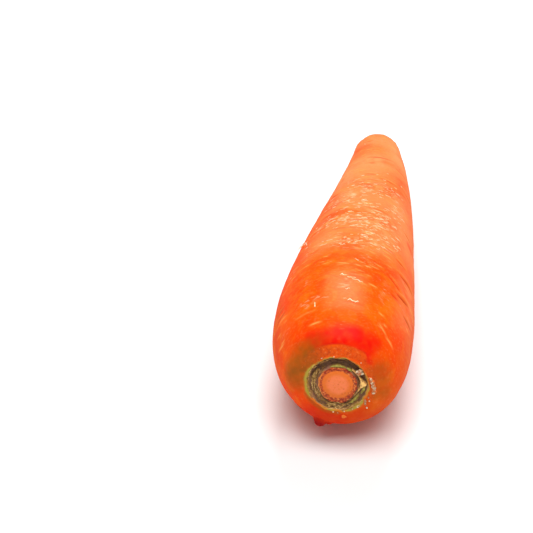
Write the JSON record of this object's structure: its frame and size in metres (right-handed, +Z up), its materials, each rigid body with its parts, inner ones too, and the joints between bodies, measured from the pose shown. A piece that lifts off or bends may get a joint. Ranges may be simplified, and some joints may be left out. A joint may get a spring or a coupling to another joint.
{
  "type": "carrot",
  "caption": "Thick blunt-tipped carrot root lying on its side, leaves cut off, with leaf stalk bases and dry scales left in the sunken ring of its crown.",
  "frame": {"origin": "on the surface that the carrot lies on, under the middle of its bounding box", "axes": "+Y along the root from the crown to the tip, +Z up, +X to the right when the crown is faced"},
  "size_m": [0.05, 0.2004, 0.0509],
  "materials": {
    "root_skin": "waxy satin skin, orange, with pale pores and scratches",
    "leaf_stalk": "fibrous, olive green to brown",
    "dry_scale": "dry and papery, cream to beige"
  },
  "bodies": {
    "root": {"carrot_root": "root_skin", "leaf_stalk_base_1": "leaf_stalk", "leaf_stalk_base_2": "leaf_stalk", "leaf_stalk_base_3": "leaf_stalk", "leaf_stalk_base_4": "leaf_stalk", "leaf_stalk_base_5": "leaf_stalk", "leaf_stalk_base_6": "leaf_stalk", "leaf_stalk_base_7": "leaf_stalk", "dry_leaf_scale_1": "dry_scale", "dry_leaf_scale_2": "dry_scale", "dry_leaf_scale_3": "dry_scale"}
  },
  "joints": []
}
